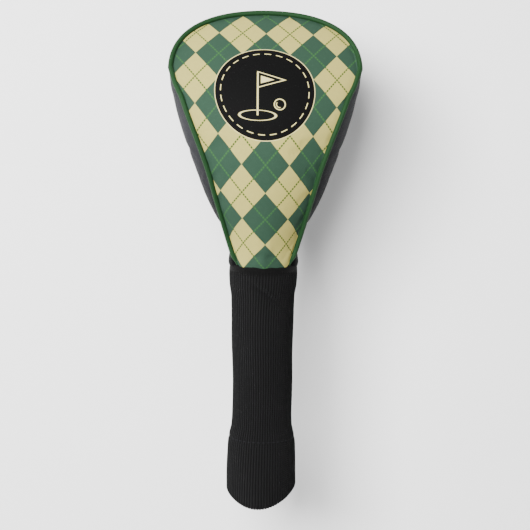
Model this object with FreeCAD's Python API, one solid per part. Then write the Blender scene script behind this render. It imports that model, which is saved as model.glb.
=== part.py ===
"""Driver head cover: a padded, lined head compartment with a printed crown panel, and a ribbed knit sock.

Millimetres. +Z runs up the club's shaft axis from the neck to the top of the head, -Y is the front,
where the printed crown panel is, and X is the width. The origin is the centre of the neck elastic.

The compartment is sewn from four panels: the crown panel in front, a left and a right side panel that
meet at the top, and the back panel. Each is a sandwich of an outer cover, foam padding and a lining.
A piping runs in the seam round the crown panel. The knit sock is one tube whose end is turned in as a
double cuff. Its nodes are the lengths of that tube that stay straight, bend or stretch.
"""

import FreeCAD
import Part
import math
import os

V = FreeCAD.Vector

# --- the head compartment, outside ---
NECK_R = 23.4  # the cover's outer radius at the neck, at z = 0
FOOT_Z = 2.0  # where the seams between the panels start, just above the neck
PIPING_FOOT_Z = 5.2  # where the piping comes out of the neck's seam

# Front and back each swell from the neck to a belly, then lean over by a distance at the compartment's top.
FRONT = {"belly_z": 87.5, "belly": 51.0, "lean": 59.0, "lean_power": 2.2, "side": -1}
BACK = {"belly_z": 92.0, "belly": 46.0, "lean": 11.0, "lean_power": 2.4, "side": 1}
LEAN_Z = 174.5  # the height at which a panel has leaned over by that distance
FLARE_POWER = 1.12  # how gently the panels leave the neck
MOST_REACH = 0.985  # the share of a crosswise curve's radius that a panel may reach sideways

# (height, radius of the panel's crosswise curve): round the neck, then flatter towards the top
FRONT_CURVE = [(-4, 23.1), (3, 23.7), (12, 24.9), (22, 28), (45, 43), (80, 80), (110, 140), (180, 240)]
BACK_CURVE = [(-4, 23.1), (3, 23.7), (12, 24.5), (22, 26), (45, 38), (80, 62), (110, 90), (180, 150)]

# (height, half width) of the seam lines up to the widest point; above it each is nearly half an ellipse
FRONT_SEAM = [(2, 18.2), (12, 21.5), (22, 24.5), (38, 28.9), (52, 32.8), (65, 36.2), (80, 41.2), (95, 46.8)]
FRONT_SEAM += [(108, 51.9), (117, 55.3), (125, 59.4)]
FRONT_WIDE = {"z": 135.6, "half": 63.2, "top": 172.5}
BACK_SEAM = [(2, 16.5), (12, 19.0), (22, 22.5), (38, 29.5), (65, 40.5), (80, 46.3), (108, 55.5), (122, 59.3)]
BACK_WIDE = {"z": 134.0, "half": 60.5, "top": 167.5}
SHOULDER = 0.045  # how much the seams swell past the ellipse, halfway from their widest point to their top

# The side panels go round the shaft axis up to one height, and from another they bulge from seam to seam.
ROUND_Z = 2.0
BULGED_Z = 12.0
# (share of the way up a side seam, how far the side panel bulges between its two seams)
SIDE_BULGE = [(0.0, 5.3), (0.03, 4.2), (0.074, 1.9), (0.114, 2.5), (0.158, 4.2), (0.2, 5.6), (0.26, 6.7)]
SIDE_BULGE += [(0.33, 7.1), (0.42, 7.3), (0.52, 6.4), (0.6, 4.8), (0.66, 3.4), (1.0, 2.5)]
SIDE_SHARE = 0.66  # the share of a seam's run that is below its widest point

# --- the sandwich: depth of each layer's two faces below the outer surface ---
COVER = (0.0, 1.2)
PADDING = (1.35, 5.35)
LINING = (5.5, 7.0)
PIPING_R = 1.75
PIPING_CORD_R = 1.1

# Each layer stops short of the seam line, further in for the deeper layers.
SEAM_INSET = {"panel": PIPING_R + 0.35, "padding": 4.2, "lining": 6.2}
# How far a side layer stays from the front seam and from the back seam: at the neck, then in the head
SIDE_FRONT_MARGIN = {"panel": (2.15, 2.15), "padding": (4.5, 9.0), "lining": (5.5, 11.0)}
SIDE_BACK_MARGIN = {"panel": (2.0, 2.0), "padding": (4.5, 9.0), "lining": (5.5, 11.0)}
SIDE_FOOT = {"panel": 0.0, "padding": 0.085, "lining": 0.07}  # share of the way up where the layer starts
SIDE_TOP_GAP = {"panel": 0.15, "padding": 1.0, "lining": 0.6}  # from each side layer to the top centre seam
PAST_TOP = 1.04  # side panels are drawn a little past the top centre, then trimmed there
# The lower edge of each layer: the crown's tongue reaches lowest, the padding stops above the neck.
LOWER_EDGE = {"panel": 0.0, "padding": 15.0, "lining": 12.5}
TONGUE_CORNER = 5.0  # the rounding of the crown panel's two lower corners
BACK_CORNER = 2.0
BACK_LIFT = 2.0  # the back panel stops this much higher than the crown's tongue
BACK_INSET = 0.1  # the back seam is plain, so its two covers nearly touch

# --- the neck and the knit sock ---
ELASTIC_R = (17.5, 19.75)
ELASTIC_HALF = 6.0
KNIT = 2.0  # thickness of the ribbed knit
GAP = 0.3  # between lengths of knit that move against each other
# (height, outer radius) of the sock, which folds outwards a little just below the neck seam
SOCK_RADIUS = [(-112, 20.7), (-88, 20.8), (-66, 21.3), (-45, 21.9), (-20, 22.2), (-8, 23.3), (0, 21.85)]
# name, top and bottom of each length of knit above the cuff
SOCK_LENGTHS = [
    ("knit_collar", 10.0, -6.0),
    ("knit_upper_bend", -6.0, -30.0),
    ("knit_ring", -30.0, -38.0),
    ("knit_lower_bend", -38.0, -62.0),
    ("knit_middle", -62.0, -88.0),
    ("knit_stretch", -88.0, -112.0),
]
CUFF_TOP = -112.0
CUFF_BOTTOM = -162.5
CUFF_R = 24.0
CUFF_SHOULDER = 8.0  # height over which the cuff widens from the sock's radius
CUFF_SWELL = 0.9  # how much the cuff still widens below its shoulder
CUFF_POCKET = (21.2, 22.0)  # the slot between the cuff's two layers, which holds the elastic
CUFF_MOUTH_R = 19.3
CUFF_ELASTIC_HEIGHT = 14.0
CUFF_HEM = 3.0  # height of the closed fold at the cuff's lower edge
CUFF_EDGE = 1.2  # the bevel of that fold's two edges
CUFF_EASE = 10.0  # height below the shoulder over which the cuff reaches its full radius
POCKET_PLAY = 0.1  # between the elastic and each side of its pocket
CORD_PLAY = 0.05  # between the piping's cord and the cloth round it

# --- sewing thread ---
THREAD_R = 0.3
THREAD_GAP = 0.25  # from a stitch to the cloth beneath it
STITCH = 2.6
STITCH_PITCH = 3.8
TOPSTITCH = 4.0  # from the back seam to its row of stitches
CUFF_STITCHES = 34
CUFF_SEAM = 9.0  # from the cuff's top down to its row of stitches

INSIDE = V(0, 0, 75)  # a point in the middle of the compartment


def smooth(stations, at):
    """A value read from (place, value) stations by a cubic that doesn't overshoot them."""
    places = [p for p, _ in stations]
    values = [v for _, v in stations]
    if at <= places[0]:
        return values[0]
    if at >= places[-1]:
        return values[-1]
    k = max(i for i, p in enumerate(places[:-1]) if p <= at)
    rises = [(values[i + 1] - values[i]) / (places[i + 1] - places[i]) for i in range(len(places) - 1)]

    def slope(i):
        if i == 0:
            return rises[0]
        if i == len(places) - 1:
            return rises[-1]
        before, after = rises[i - 1], rises[i]
        return 0.0 if before * after <= 0 else 2 * before * after / (before + after)

    span = places[k + 1] - places[k]
    t = (at - places[k]) / span
    start = (1 + 2 * t) * (1 - t) ** 2 * values[k] + t * (1 - t) ** 2 * span * slope(k)
    end = t * t * (3 - 2 * t) * values[k + 1] - t * t * (1 - t) * span * slope(k + 1)
    return start + end


# ---------------------------------------------------------------- front and back surfaces
def depth_at(face, z):
    """How far the face's centre line stands out from the shaft axis at height z."""
    if z < face["belly_z"]:
        climb = max(0.0, z / face["belly_z"]) ** FLARE_POWER
        return NECK_R + (face["belly"] - NECK_R) * math.sin(math.pi / 2 * climb)
    climb = (z - face["belly_z"]) / (LEAN_Z - face["belly_z"])
    return face["belly"] - face["lean"] * climb ** face["lean_power"]


def face_point(face, curve, x, z):
    """The point of the front or back surface at x and z: each cross-section is an arc of a circle."""
    radius = smooth(curve, z)
    reach = max(-MOST_REACH, min(MOST_REACH, x / radius))
    sag = radius * (1 - math.sqrt(1 - reach * reach))
    return V(radius * reach, face["side"] * (depth_at(face, z) - sag), z)


def offset_grid(grid, depth, inward):
    """The grid of points moved by depth along its own normals, on the side where the point inward lies."""
    rows, columns = len(grid), len(grid[0])
    moved = []
    for i in range(rows):
        line = []
        for j in range(columns):
            across = grid[i][min(j + 1, columns - 1)].sub(grid[i][max(j - 1, 0)])
            along = grid[min(i + 1, rows - 1)][j].sub(grid[max(i - 1, 0)][j])
            normal = across.cross(along).normalize()
            if normal.dot(inward.sub(grid[i][j])) < 0:
                normal = normal.negative()
            line.append(grid[i][j].add(normal.multiply(depth)))
        moved.append(line)
    return moved


def sheet_between(grid, depths, inward):
    """A closed solid between two offsets of one grid of points."""
    faces = []
    surfaces = []
    for depth in depths:
        surface = Part.BSplineSurface()
        surface.interpolate(offset_grid(grid, depth, inward))
        surfaces.append(surface)
        faces.append(surface.toShape())
    outer, inner = surfaces
    u0, u1, v0, v1 = outer.bounds()
    p0, p1, q0, q1 = inner.bounds()
    for a, b in ((outer.uIso(u0), inner.uIso(p0)), (outer.uIso(u1), inner.uIso(p1))):
        faces.append(Part.makeRuledSurface(a.toShape(), b.toShape()))
    for a, b in ((outer.vIso(v0), inner.vIso(q0)), (outer.vIso(v1), inner.vIso(q1))):
        faces.append(Part.makeRuledSurface(a.toShape(), b.toShape()))
    shell = Part.Compound(faces)
    shell.sewShape()
    solid = Part.makeSolid(shell.Shells[0])
    if solid.Volume < 0:
        solid.reverse()
    return solid


FACE_MARGIN = 4.0  # how far the surface that a panel is cut from goes past the widest seam
FACE_REACH = 0.97  # and the share of its crosswise radius that it reaches near the neck


def face_grid(face, curve):
    """Points of the front or back surface over an area larger than the panel, which is cut from it."""
    heights = [-4, 0, 5, 12, 20, 30, 42, 56, 72, 90, 108, 126, 142, 156, 167, 175, 180]
    shares = [-1 + i / 8 for i in range(17)]
    widest = FRONT_WIDE["half"] + FACE_MARGIN
    grid = []
    for z in heights:
        half = min(widest, FACE_REACH * smooth(curve, z))
        grid.append([face_point(face, curve, half * s, z) for s in shares])
    return grid


# ---------------------------------------------------------------- seam lines
SEAM_STEP = 0.01  # a short share of a seam's run, for its direction
OUTLINE_STEPS = 30


def seam_xz(stations, wide, t):
    """The seam in front view, at t from 0, its foot at the right of the neck, to 1, the top centre."""
    t = max(0.0, t)
    if t <= SIDE_SHARE:
        z = stations[0][0] + (wide["z"] - stations[0][0]) * t / SIDE_SHARE
        return smooth(stations + [(wide["z"], wide["half"])], z), z
    turn = (t - SIDE_SHARE) / (1 - SIDE_SHARE) * math.pi / 2
    fuller = 1 + SHOULDER * math.sin(2 * turn) ** 2
    rise = (wide["top"] - wide["z"]) * math.sin(turn) * fuller
    return wide["half"] * math.cos(turn) * fuller, wide["z"] + rise


def seam_point(face, curve, stations, wide, t):
    x, z = seam_xz(stations, wide, t)
    return face_point(face, curve, x, z)


def front_seam(t):
    return seam_point(FRONT, FRONT_CURVE, FRONT_SEAM, FRONT_WIDE, t)


def back_seam(t):
    return seam_point(BACK, BACK_CURVE, BACK_SEAM, BACK_WIDE, t)


def outline_prism(stations, wide, inset, lower, corner, near, far):
    """The panel's outline in front view, inset from its seam, as a prism from y = near to y = far."""
    rim = []
    for i in range(OUTLINE_STEPS + 1):
        t = i / OUTLINE_STEPS
        x, z = seam_xz(stations, wide, t)
        x0, z0 = seam_xz(stations, wide, t - SEAM_STEP)
        x1, z1 = seam_xz(stations, wide, t + SEAM_STEP)
        length = math.hypot(x1 - x0, z1 - z0)
        rim.append((x - inset * (z1 - z0) / length, z + inset * (x1 - x0) / length))
    rim = [(x, z) for x, z in rim if z > lower + corner + 0.5]
    side = smooth(stations, lower + corner) - inset
    right = [V(side, near, lower + corner)] + [V(x, near, z) for x, z in rim]
    left = [V(-p.x, near, p.z) for p in reversed(right[:-1])]
    arch = Part.BSplineCurve()
    arch.interpolate(right + left)
    edges = [arch.toShape()]
    ends = []
    cut = corner * (1 - math.sqrt(0.5))
    for sign in (-1, 1):
        high = V(sign * side, near, lower + corner)
        middle = V(sign * (side - cut), near, lower + cut)
        low = V(sign * (side - corner), near, lower)
        edges.append(Part.Arc(high, middle, low).toShape())
        ends.append(low)
    edges.append(Part.LineSegment(ends[0], ends[1]).toShape())
    wire = Part.Wire(Part.__sortEdges__(edges))
    return Part.Face(wire).extrude(V(0, far - near, 0))


def crown_layer(depths, layer):
    solid = sheet_between(face_grid(FRONT, FRONT_CURVE), depths, INSIDE)
    inset, lower = SEAM_INSET[layer], LOWER_EDGE[layer]
    prism = outline_prism(FRONT_SEAM, FRONT_WIDE, inset, lower, TONGUE_CORNER, -90, 40)
    return only_solid(solid.common(prism))


def back_layer(depths, layer):
    solid = sheet_between(face_grid(BACK, BACK_CURVE), depths, INSIDE)
    inset = BACK_INSET if layer == "panel" else SEAM_INSET[layer]
    lower = LOWER_EDGE[layer] + BACK_LIFT
    prism = outline_prism(BACK_SEAM, BACK_WIDE, inset, lower, BACK_CORNER, 90, -20)
    return only_solid(solid.common(prism))


def only_solid(shape):
    """The one solid of a boolean's result: the largest, as slivers are no part of the piece."""
    return max(shape.Solids, key=lambda s: s.Volume)


# ---------------------------------------------------------------- side panels
def side_point(t, share):
    """A point of the right side panel, a share of the way from its front seam to its back seam."""
    front, back = front_seam(t), back_seam(t)
    outline = front_seam(t + SEAM_STEP).sub(front_seam(t - SEAM_STEP))
    outward = V(outline.z, 0, -outline.x).normalize()
    bulge = 4 * share * (1 - share) * smooth(SIDE_BULGE, t)
    bulged = front.add(V(back.sub(front)).multiply(share)).add(outward.multiply(bulge))
    if front.z >= BULGED_Z:
        return bulged
    angles = [math.atan2(p.y, p.x) for p in (front, back)]
    radii = [math.hypot(p.y, p.x) for p in (front, back)]
    angle = angles[0] + (angles[1] - angles[0]) * share
    radius = radii[0] + (radii[1] - radii[0]) * share
    rounded = V(radius * math.cos(angle), radius * math.sin(angle), bulged.z)
    reach = max(0.0, (front.z - ROUND_Z) / (BULGED_Z - ROUND_Z))
    mix = reach * reach * (3 - 2 * reach)
    return rounded.multiply(1 - mix).add(bulged.multiply(mix))


def mirrored(grid):
    return [[V(-p.x, p.y, p.z) for p in row] for row in grid]


def side_grid(layer):
    """Points of the right side panel's outer surface, over the layer's extent, neck to past the top."""
    rows, columns = 34, 10
    foot = SIDE_FOOT[layer]
    grid = []
    for i in range(rows + 1):
        t = foot + (PAST_TOP - foot) * i / rows
        span = back_seam(t).sub(front_seam(t)).Length
        grown = min(1, 2 * t)
        margins = (SIDE_FRONT_MARGIN[layer], SIDE_BACK_MARGIN[layer])
        starts = [at_neck + (in_head - at_neck) * grown for at_neck, in_head in margins]
        first, last = starts[0] / span, 1 - starts[1] / span
        grid.append([side_point(t, first + (last - first) * j / columns) for j in range(columns + 1)])
    return grid


def side_layer(depths, layer, right):
    grid = side_grid(layer)
    solid = sheet_between(grid if right else mirrored(grid), depths, INSIDE)
    gap = SIDE_TOP_GAP[layer]
    half = Part.makeBox(90, 160, 200, V(gap if right else -gap - 90, -80, -10))
    return only_solid(solid.common(half))


# ---------------------------------------------------------------- piping
PIPING_STEPS = 26


def piping_path():
    """The piping's line: up the right front seam, over the top centre and down the left one."""
    foot = SIDE_SHARE * (PIPING_FOOT_Z - FOOT_Z) / (FRONT_WIDE["z"] - FOOT_Z)
    right = [front_seam(foot + (1 - foot) * i / PIPING_STEPS) for i in range(PIPING_STEPS + 1)]
    left = [V(-p.x, p.y, p.z) for p in reversed(right[:-1])]
    curve = Part.BSplineCurve()
    curve.interpolate(right + left)
    return curve


def tube_along(curve, radius):
    start = curve.value(curve.FirstParameter)
    direction = curve.tangent(curve.FirstParameter)[0]
    ring = Part.Wire(Part.makeCircle(radius, start, direction))
    return Part.Wire(curve.toShape()).makePipeShell([ring], True, True)


# ---------------------------------------------------------------- neck, sock and cuff
def turned(profile):
    """A ring turned about the shaft axis from a closed (radius, height) outline."""
    points = [V(r, 0, z) for r, z in profile]
    return Part.Face(Part.makePolygon(points + [points[0]])).revolve(V(0, 0, 0), V(0, 0, 1), 360)


def turned_tube(top, bottom, thickness):
    """A length of the knit tube, whose outer radius follows the sock."""
    steps = max(2, round((top - bottom) / 6))
    heights = [top + (bottom - top) * i / steps for i in range(steps + 1)]
    outer = [V(smooth(SOCK_RADIUS, z), 0, z) for z in heights]
    inner = [V(p.x - thickness, 0, p.z) for p in reversed(outer)]
    edges = []
    for run in (outer, inner):
        curve = Part.BSplineCurve()
        curve.interpolate(run)
        edges.append(curve.toShape())
    edges.append(Part.LineSegment(outer[-1], inner[0]).toShape())
    edges.append(Part.LineSegment(inner[-1], outer[0]).toShape())
    wire = Part.Wire(Part.__sortEdges__(edges))
    return Part.Face(wire).revolve(V(0, 0, 0), V(0, 0, 1), 360)


def knit_cuff():
    """The sock's end, turned in on itself: two layers of knit joined by the fold at the lower edge."""
    top = CUFF_TOP - GAP
    neck = smooth(SOCK_RADIUS, CUFF_TOP)
    shoulder = top - CUFF_SHOULDER
    fold = CUFF_BOTTOM + CUFF_HEM
    slot_in, slot_out = CUFF_POCKET
    outline = [
        (CUFF_MOUTH_R, top),
        (neck, top),
        (CUFF_R - CUFF_SWELL, shoulder),
        (CUFF_R, shoulder - CUFF_EASE),
        (CUFF_R, fold),
        (CUFF_R - CUFF_EDGE, CUFF_BOTTOM),
        (CUFF_MOUTH_R + CUFF_EDGE, CUFF_BOTTOM),
        (CUFF_MOUTH_R, fold),
    ]
    pocket = [
        (slot_in, fold),
        (slot_out, fold),
        (slot_out, shoulder),
        (slot_in, shoulder),
    ]
    return turned(outline).cut(turned(pocket))


def cuff_elastic():
    low = CUFF_BOTTOM + CUFF_HEM + 2 * POCKET_PLAY
    high = low + CUFF_ELASTIC_HEIGHT
    r0, r1 = CUFF_POCKET[0] + POCKET_PLAY, CUFF_POCKET[1] - POCKET_PLAY
    return turned([(r0, low), (r1, low), (r1, high), (r0, high)])


def neck_elastic():
    r0, r1 = ELASTIC_R
    return turned([(r0, -ELASTIC_HALF), (r1, -ELASTIC_HALF), (r1, ELASTIC_HALF), (r0, ELASTIC_HALF)])


def stitch_ring(count, radius, z):
    """Straight stitches lying end to end round the shaft axis, a little clear of the cloth beneath."""
    stitches = []
    for i in range(count):
        angle = 2 * math.pi * i / count
        middle = V(radius * math.cos(angle), radius * math.sin(angle), z)
        along = V(-math.sin(angle), math.cos(angle), 0)
        start = middle.sub(V(along).multiply(STITCH / 2))
        stitches.append(Part.makeCylinder(THREAD_R, STITCH, start, along))
    return Part.Compound(stitches)


def back_seam_stitches():
    """One row of stitches on each side of the back panel's seam, a little clear of the side panels."""
    rows = 34
    strip = []
    for i in range(rows + 1):
        t = i / rows
        share = 1 - TOPSTITCH / back_seam(t).sub(front_seam(t)).Length
        strip.append([side_point(t, share + step) for step in (-0.02, 0, 0.02)])
    stitches = []
    for half in (strip, mirrored(strip)):
        lifted = offset_grid(half, -THREAD_R - THREAD_GAP, INSIDE)
        path = Part.BSplineCurve()
        path.interpolate([row[1] for row in lifted])
        for i in range(1, int(path.length() / STITCH_PITCH) - 1):
            start = path.value(path.parameterAtDistance(i * STITCH_PITCH, path.FirstParameter))
            end = path.value(path.parameterAtDistance(i * STITCH_PITCH + STITCH, path.FirstParameter))
            run = end.sub(start)
            stitches.append(Part.makeCylinder(THREAD_R, run.Length, start, run))
    return Part.Compound(stitches)


# ---------------------------------------------------------------- all of it
def build():
    parts = {}
    for layer, depths in (("panel", COVER), ("padding", PADDING), ("lining", LINING)):
        parts[f"crown_{layer}"] = crown_layer(depths, layer)
        parts[f"back_{layer}"] = back_layer(depths, layer)
        parts[f"left_side_{layer}"] = side_layer(depths, layer, False)
        parts[f"right_side_{layer}"] = side_layer(depths, layer, True)
    path = piping_path()
    bore = tube_along(path, PIPING_CORD_R + CORD_PLAY)
    parts["piping_cover"] = only_solid(tube_along(path, PIPING_R).cut(bore))
    parts["piping_cord"] = tube_along(path, PIPING_CORD_R)
    parts["back_seam_thread"] = back_seam_stitches()
    parts["neck_elastic"] = neck_elastic()
    for name, top, bottom in SOCK_LENGTHS:
        clear = 0.0 if name == "knit_collar" else GAP
        parts[name] = turned_tube(top - clear, bottom, KNIT)
    parts["knit_cuff"] = knit_cuff()
    parts["cuff_elastic"] = cuff_elastic()
    thread_ring = CUFF_R - CUFF_SWELL + 2 * THREAD_R
    parts["cuff_thread"] = stitch_ring(CUFF_STITCHES, thread_ring, CUFF_TOP - CUFF_SEAM)
    return parts


os.makedirs("parts", exist_ok=True)
for name, shape in build().items():
    shape.exportStep(f"parts/{name}.step")
    box = shape.BoundBox
    print(
        f"{name:20s} valid {shape.isValid()} solids {len(shape.Solids):3d} volume {shape.Volume:9.1f}"
        f" x {box.XMin:.1f}..{box.XMax:.1f} y {box.YMin:.1f}..{box.YMax:.1f} z {box.ZMin:.1f}..{box.ZMax:.1f}"
    )
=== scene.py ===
"""Driver head cover: the looks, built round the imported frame.

Metres. +Z runs up the club's shaft axis, -Y is the front with the printed crown panel, X is the width, and
the origin is the centre of the neck elastic. The shapes are worked out in millimetres, as cloth and thread
are measured, and every mesh is made with new_mesh, which turns them into metres.
"""

import math

import bpy
import numpy as np
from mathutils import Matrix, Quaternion, Vector


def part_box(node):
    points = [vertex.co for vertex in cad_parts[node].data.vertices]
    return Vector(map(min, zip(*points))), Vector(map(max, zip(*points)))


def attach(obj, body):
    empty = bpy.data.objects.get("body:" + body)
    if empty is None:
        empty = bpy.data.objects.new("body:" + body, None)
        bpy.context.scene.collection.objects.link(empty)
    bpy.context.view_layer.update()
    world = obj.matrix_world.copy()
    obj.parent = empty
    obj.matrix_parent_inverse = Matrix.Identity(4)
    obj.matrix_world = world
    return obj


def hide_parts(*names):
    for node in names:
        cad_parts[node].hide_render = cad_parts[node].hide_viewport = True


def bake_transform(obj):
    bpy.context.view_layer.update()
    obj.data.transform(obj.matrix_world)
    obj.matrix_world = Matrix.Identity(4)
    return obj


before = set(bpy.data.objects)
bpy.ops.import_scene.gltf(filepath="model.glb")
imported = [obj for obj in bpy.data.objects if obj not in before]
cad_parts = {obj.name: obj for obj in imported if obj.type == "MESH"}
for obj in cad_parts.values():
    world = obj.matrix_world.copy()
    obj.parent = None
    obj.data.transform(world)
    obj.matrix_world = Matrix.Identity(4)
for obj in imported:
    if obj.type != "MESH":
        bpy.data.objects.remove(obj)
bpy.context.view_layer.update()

MM = 0.001
TAU = 2 * math.pi
MIRROR = np.array([-1, 1, 1])  # right side to left side


def cad_mm(node):
    """Lowest and highest corner of a CAD node, in millimetres."""
    return [np.array(corner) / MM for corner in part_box(node)]


# ---- the compartment's shape, as in the CAD
NECK_R = 23.4
FOOT_Z = 2.0  # height of the seams' feet at the neck
PIPING_FOOT_Z = 5.2
LEAN_Z = 174.5  # height at which both faces have leant in by all of their lean
FLARE_POWER = 1.12
# Each face has its bellying and leaning, (height, radius) of its curve across, (height, half width) of its
# seam in front view up to the widest place, and the radius of its lower corners.
FRONT = {
    "side": -1,
    "belly_z": 87.5,
    "belly": 51.0,
    "lean": 59.0,
    "lean_power": 2.2,
    "curve": [(-4, 23.1), (3, 23.7), (12, 24.9), (22, 28), (45, 43), (80, 80), (110, 140), (180, 240)],
    "seam": [(2, 18.2), (12, 21.5), (22, 24.5), (38, 28.9), (52, 32.8), (65, 36.2), (80, 41.2), (95, 46.8)]
    + [(108, 51.9), (117, 55.3), (125, 59.4)],
    "wide": {"z": 135.6, "half": 63.2, "top": 172.5},
    "corner": 5.0,
}
BACK = {
    "side": 1,
    "belly_z": 92.0,
    "belly": 46.0,
    "lean": 11.0,
    "lean_power": 2.4,
    "curve": [(-4, 23.1), (3, 23.7), (12, 24.5), (22, 26), (45, 38), (80, 62), (110, 90), (180, 150)],
    "seam": [(2, 16.5), (12, 19), (22, 22.5), (38, 29.5), (65, 40.5), (80, 46.3), (108, 55.5), (122, 59.3)],
    "wide": {"z": 134.0, "half": 60.5, "top": 167.5},
    "corner": 2.0,
}
SHOULDER = 0.045  # how much fuller than an ellipse the seam's shoulders are
ROUND_Z = 2.0  # up to here the sides follow the round neck
BULGED_Z = 12.0  # and from here up they bulge freely
# (t, how far the side panel bulges) along the seam
SIDE_BULGE = [(0.0, 5.3), (0.03, 4.2), (0.074, 1.9), (0.114, 2.5), (0.158, 4.2), (0.2, 5.6), (0.26, 6.7)]
SIDE_BULGE += [(0.33, 7.1), (0.42, 7.3), (0.52, 6.4), (0.6, 4.8), (0.66, 3.4), (1.0, 2.5)]
SIDE_SHARE = 0.66  # share of the seam's length that is below its widest point
MOST_REACH = 0.985  # as far round its curve as a face is followed
PIPING_R = 1.75
COVER = 1.2  # thickness of the outer cloth
PADDING = (1.35, 5.35)  # depths of the foam's two faces below the outer surface
LINING = (5.5, 7.0)
INSIDE = np.array([0.0, 0.0, 75.0])  # a point inside the compartment
SEAM_STEP = 0.01  # step along a seam for its direction
SIDE_STEP = 0.004  # step along and across a side panel for its normals


def smooth(stations, at):
    """Values read from (place, value) stations by a cubic that doesn't overshoot them."""
    places, values = np.array(stations, float).T
    at = np.clip(np.asarray(at, float), places[0], places[-1])
    rises = np.diff(values) / np.diff(places)
    before, after = rises[:-1], rises[1:]
    steep = np.where(before * after > 0, before + after, 1.0)
    between = np.where(before * after > 0, 2 * before * after / steep, 0)
    slopes = np.concatenate([[rises[0]], between, [rises[-1]]])
    k = np.clip(np.searchsorted(places, at, side="right") - 1, 0, len(rises) - 1)
    span = places[k + 1] - places[k]
    t = (at - places[k]) / span
    start = (1 + 2 * t) * (1 - t) ** 2 * values[k] + t * (1 - t) ** 2 * span * slopes[k]
    return start + t * t * (3 - 2 * t) * values[k + 1] - t * t * (1 - t) * span * slopes[k + 1]


def ramp(at, low, high):
    """0 below low, 1 above high, and an S-curve between them."""
    t = np.clip((at - low) / (high - low), 0, 1)
    return t * t * (3 - 2 * t)


def depth_at(face, z):
    """How far a face stands in front of or behind the shaft axis on its centre line."""
    z = np.asarray(z, float)
    swell = np.clip(z / face["belly_z"], 0, 1) ** FLARE_POWER
    lean = np.clip((z - face["belly_z"]) / (LEAN_Z - face["belly_z"]), 0, None) ** face["lean_power"]
    return NECK_R + (face["belly"] - NECK_R) * np.sin(math.pi / 2 * swell) - face["lean"] * lean


def face_point(face, x, z):
    """Points of the front or back surface, from their places in front view."""
    radius = smooth(face["curve"], z)
    reach = np.clip(x / radius, -MOST_REACH, MOST_REACH)
    sag = radius * (1 - np.sqrt(1 - reach * reach))
    return np.stack([radius * reach, face["side"] * (depth_at(face, z) - sag), z + 0 * x], -1)


def seam_xz(face, t):
    """The seam in front view, at t from 0, its foot at the right of the neck, to 1, the top centre."""
    stations, wide = face["seam"], face["wide"]
    t = np.maximum(np.asarray(t, float), 0)
    z = stations[0][0] + (wide["z"] - stations[0][0]) * t / SIDE_SHARE
    turn = (t - SIDE_SHARE) / (1 - SIDE_SHARE) * math.pi / 2
    low = smooth(stations + [(wide["z"], wide["half"])], z)
    fuller = 1 + SHOULDER * np.sin(2 * turn) ** 2
    x = np.where(t <= SIDE_SHARE, low, wide["half"] * np.cos(turn) * fuller)
    return x, np.where(t <= SIDE_SHARE, z, wide["z"] + (wide["top"] - wide["z"]) * np.sin(turn) * fuller)


def seam_point(face, t):
    """Points of a face's seam."""
    return face_point(face, *seam_xz(face, t))


def gusset_width(t):
    """Straight distance from the front seam to the back seam."""
    return np.linalg.norm(seam_point(BACK, t) - seam_point(FRONT, t), axis=-1)


def unit(v):
    """Vectors at unit length."""
    return v / np.maximum(np.linalg.norm(v, axis=-1, keepdims=True), 1e-9)


def circle(angle, radius, z):
    """Points round the shaft axis."""
    return np.stack([radius * np.cos(angle), radius * np.sin(angle), z + 0 * angle], -1)


def run_along(path):
    """The distance along a path to each of its points."""
    return np.concatenate([[0], np.cumsum(np.linalg.norm(np.diff(path, axis=0), axis=-1))])


def read_at(at, run, values):
    """Points read along a path, between its own."""
    return np.stack([np.interp(at, run, column) for column in values.T], -1)


def side_point(t, share):
    """Points of the right side panel, a share of the way from its front seam to its back seam."""
    t, share = np.broadcast_arrays(np.asarray(t, float), np.asarray(share, float))
    front, back = seam_point(FRONT, t), seam_point(BACK, t)
    outline = seam_point(FRONT, t + SEAM_STEP) - seam_point(FRONT, t - SEAM_STEP)
    outward = unit(np.stack([outline[..., 2], 0 * t, -outline[..., 0]], -1))
    bulge = 4 * share * (1 - share) * smooth(SIDE_BULGE, t)
    bulged = front + (back - front) * share[..., None] + outward * bulge[..., None]
    angles = [np.arctan2(p[..., 1], p[..., 0]) for p in (front, back)]
    radii = [np.hypot(p[..., 0], p[..., 1]) for p in (front, back)]
    angle = angles[0] + (angles[1] - angles[0]) * share
    radius = radii[0] + (radii[1] - radii[0]) * share
    rounded = circle(angle, radius, bulged[..., 2])
    mix = np.where(t < SIDE_SHARE, ramp(front[..., 2], ROUND_Z, BULGED_Z), 1.0)[..., None]
    return rounded * (1 - mix) + bulged * mix


def outward_normals(points, u_step, v_step):
    """Unit normals from two steps along the surface, on the side away from the compartment's inside."""
    normal = unit(np.cross(u_step, v_step))
    flip = np.sum(normal * (points - INSIDE), -1, keepdims=True) < 0
    return np.where(flip, -normal, normal)


def side_normals(t, share):
    """Outward unit normals of the right side panel."""
    across = side_point(t, share + SIDE_STEP) - side_point(t, share - SIDE_STEP)
    along = side_point(t + SIDE_STEP, share) - side_point(t - SIDE_STEP, share)
    return outward_normals(side_point(t, share), across, along)


def face_normals(face, x, z):
    """Outward unit normals of the front or back surface."""
    step = 0.2
    across = face_point(face, x + step, z) - face_point(face, x - step, z)
    along = face_point(face, x, z + step) - face_point(face, x, z - step)
    return outward_normals(face_point(face, x, z), across, along)


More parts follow.
